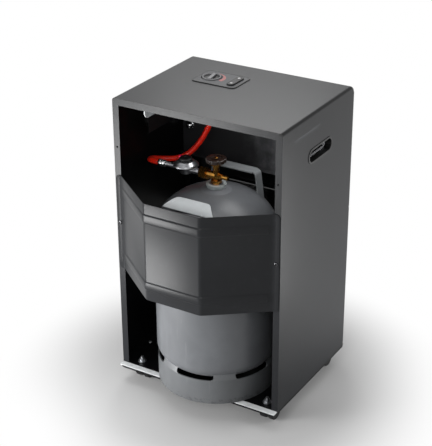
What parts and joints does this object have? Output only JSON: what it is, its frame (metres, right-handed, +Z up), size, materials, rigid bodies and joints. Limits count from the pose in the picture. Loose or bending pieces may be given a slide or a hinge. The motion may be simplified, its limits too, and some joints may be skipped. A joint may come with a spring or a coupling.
{
  "type": "portable gas cabinet heater",
  "caption": "Wheeled sheet-steel cabinet heater with rear cover off, gas bottle behind a folded guard, regulator and hose, top controls, and ceramic burner with wire guard at the front.",
  "frame": {"origin": "floor under the middle of the whole heater", "axes": "+Z up, burner faces -Y, open bottle bay faces +Y"},
  "size_m": [0.453, 0.489, 0.775],
  "materials": {
    "cabinet_black": "fine-textured anthracite powder coat",
    "tread_grey": "matt, cross ribbed",
    "zinc": "zinc plated",
    "bright_metal": "bright plated",
    "cast_alloy": "die cast",
    "ceramic": "porous white ceramic",
    "brass": "machined and tumbled",
    "bottle_grey": "satin grey paint",
    "neck_grey": "satin light grey paint",
    "regulator_silver": "lacquered die casting",
    "black_plastic": "moulded black",
    "red_plastic": "moulded red",
    "red_rubber": "smooth orange-red hose",
    "black_tyre": "matt black nylon"
  },
  "bodies": {
    "cabinet": {"floor_tray": "cabinet_black", "tread_strip": "tread_grey", "tray_screws": "zinc", "castor_stems": "zinc", "castor_nuts": "zinc", "cabinet_shell": "cabinet_black", "handle_rim_left": "black_plastic", "handle_rim_right": "black_plastic", "panel_bezel": "black_plastic", "control_panel": "cabinet_black", "gas_valve_block": "cast_alloy", "piezo_igniter": "black_plastic", "shield_uprights": "zinc", "heat_shield": "zinc", "shield_dome_nut": "bright_metal", "cover_catch": "tread_grey", "burner_front_panel": "cabinet_black", "lower_front_panel": "cabinet_black", "burner_housing": "zinc", "ceramic_plaque_left": "ceramic", "ceramic_plaque_centre": "ceramic", "ceramic_plaque_right": "ceramic", "reflector": "bright_metal", "pilot_burner": "brass", "spark_electrode": "ceramic", "thermocouple": "zinc", "burner_pipe": "zinc", "wire_guard": "bright_metal", "bottle_guard": "cabinet_black", "guard_screws": "bright_metal", "bottle_body": "bottle_grey", "bottle_foot_ring": "bottle_grey", "bottle_neck_ring": "neck_grey", "bottle_handle": "bottle_grey", "bottle_shoulder_plate": "neck_grey", "bottle_valve_body": "brass", "regulator_body": "regulator_silver", "regulator_cap": "black_plastic", "regulator_indicator": "red_plastic", "hose_ferrule": "bright_metal", "gas_hose": "red_rubber"},
    "swivel_rear_left": {"castor_hood_rear_left": "black_plastic", "castor_axle_rear_left": "zinc"},
    "wheels_rear_left": {"castor_wheels_rear_left": "black_tyre"},
    "swivel_rear_right": {"castor_hood_rear_right": "black_plastic", "castor_axle_rear_right": "zinc"},
    "wheels_rear_right": {"castor_wheels_rear_right": "black_tyre"},
    "swivel_front_left": {"castor_hood_front_left": "black_plastic", "castor_axle_front_left": "zinc"},
    "wheels_front_left": {"castor_wheels_front_left": "black_tyre"},
    "swivel_front_right": {"castor_hood_front_right": "black_plastic", "castor_axle_front_right": "zinc"},
    "wheels_front_right": {"castor_wheels_front_right": "black_tyre"},
    "spindle": {"valve_spindle": "zinc"},
    "knob": {"control_knob": "black_plastic"},
    "key": {"ignition_key": "black_plastic"},
    "handwheel": {"valve_handwheel": "black_plastic", "valve_stem": "brass"},
    "union": {"union_nut": "brass"}
  },
  "joints": [
    {"name": "castor_swivel_rear_left", "type": "hinge", "parent": "cabinet", "child": "swivel_rear_left", "pos_m": [-0.183, 0.1135, 0.045], "axis": [0, 0, 1], "continuous": true},
    {"name": "castor_roll_rear_left", "type": "hinge", "parent": "swivel_rear_left", "child": "wheels_rear_left", "pos_m": [-0.183, 0.0985, 0.021], "axis": [1, 0, 0], "continuous": true},
    {"name": "castor_swivel_rear_right", "type": "hinge", "parent": "cabinet", "child": "swivel_rear_right", "pos_m": [0.183, 0.1135, 0.045], "axis": [0, 0, 1], "continuous": true},
    {"name": "castor_roll_rear_right", "type": "hinge", "parent": "swivel_rear_right", "child": "wheels_rear_right", "pos_m": [0.183, 0.0985, 0.021], "axis": [1, 0, 0], "continuous": true},
    {"name": "castor_swivel_front_left", "type": "hinge", "parent": "cabinet", "child": "swivel_front_left", "pos_m": [-0.183, -0.1985, 0.045], "axis": [0, 0, 1], "continuous": true},
    {"name": "castor_roll_front_left", "type": "hinge", "parent": "swivel_front_left", "child": "wheels_front_left", "pos_m": [-0.183, -0.1835, 0.021], "axis": [1, 0, 0], "continuous": true},
    {"name": "castor_swivel_front_right", "type": "hinge", "parent": "cabinet", "child": "swivel_front_right", "pos_m": [0.183, -0.1985, 0.045], "axis": [0, 0, 1], "continuous": true},
    {"name": "castor_roll_front_right", "type": "hinge", "parent": "swivel_front_right", "child": "wheels_front_right", "pos_m": [0.183, -0.1835, 0.021], "axis": [1, 0, 0], "continuous": true},
    {"name": "knob_press", "type": "slide", "parent": "cabinet", "child": "spindle", "axis": [0, 0, -1], "range_m": [0, 0.005], "stiffness_N_per_m": 600, "springref_m": -0.002},
    {"name": "knob_turn", "type": "hinge", "parent": "spindle", "child": "knob", "pos_m": [0.095, -0.0945, 0.765], "axis": [0, 0, 1], "range_deg": [0, 210]},
    {"name": "key_press", "type": "slide", "parent": "cabinet", "child": "key", "axis": [0, 0, -1], "range_m": [0, 0.004], "stiffness_N_per_m": 800, "springref_m": -0.0015},
    {"name": "bottle_valve_turn", "type": "hinge", "parent": "cabinet", "child": "handwheel", "pos_m": [-0.007, 0.0555, 0.635], "axis": [0, 0, 1], "range_deg": [0, 720]},
    {"name": "union_nut_turn", "type": "hinge", "parent": "cabinet", "child": "union", "pos_m": [0.026, 0.0555, 0.592], "axis": [1, 0, 0], "range_deg": [0, 720]}
  ]
}
